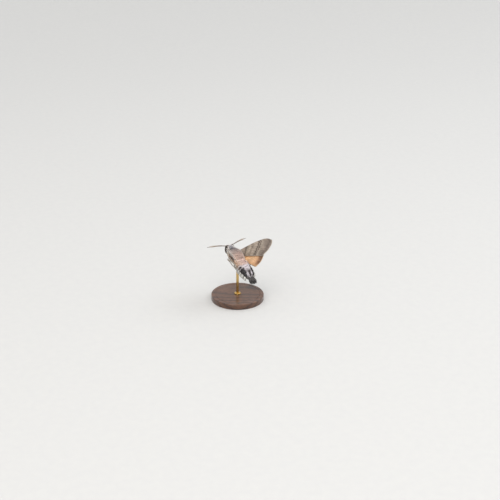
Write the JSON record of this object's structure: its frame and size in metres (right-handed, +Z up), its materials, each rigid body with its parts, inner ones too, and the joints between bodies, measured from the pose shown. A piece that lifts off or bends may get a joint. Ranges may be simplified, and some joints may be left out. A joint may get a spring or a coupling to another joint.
{
  "type": "hummingbird hawk moth model",
  "caption": "Life-size hummingbird hawk moth hovering with raised wings, coiled tongue and tail fan, held by one rod over a round wooden base.",
  "frame": {"origin": "centre of the underside of the round base, on the floor", "axes": "+Z up through the rod, +Y the way the head points, +X the moth's right"},
  "size_m": [0.028, 0.0311, 0.0356],
  "materials": {
    "body_fur": "matte",
    "tail_scales": "matte",
    "pale_scales": "matte",
    "eye": "gloss",
    "horn": "satin",
    "forewing_scales": "matte",
    "hindwing_scales": "matte",
    "stand_wood": "satin",
    "stand_metal": "satin"
  },
  "bodies": {
    "root": {"thorax": "body_fur", "abdomen": "body_fur", "head": "body_fur", "tail_fan": "tail_scales", "proboscis": "horn", "stand_base": "stand_wood", "stand_rod": "stand_metal", "eye_left": "eye", "palp_left": "pale_scales", "antenna_left": "horn", "forewing_left": "forewing_scales", "hindwing_left": "hindwing_scales", "leg_front_left": "pale_scales", "leg_mid_left": "pale_scales", "leg_hind_left": "pale_scales", "eye_right": "eye", "palp_right": "pale_scales", "antenna_right": "horn", "forewing_right": "forewing_scales", "hindwing_right": "hindwing_scales", "leg_front_right": "pale_scales", "leg_mid_right": "pale_scales", "leg_hind_right": "pale_scales"}
  },
  "joints": []
}
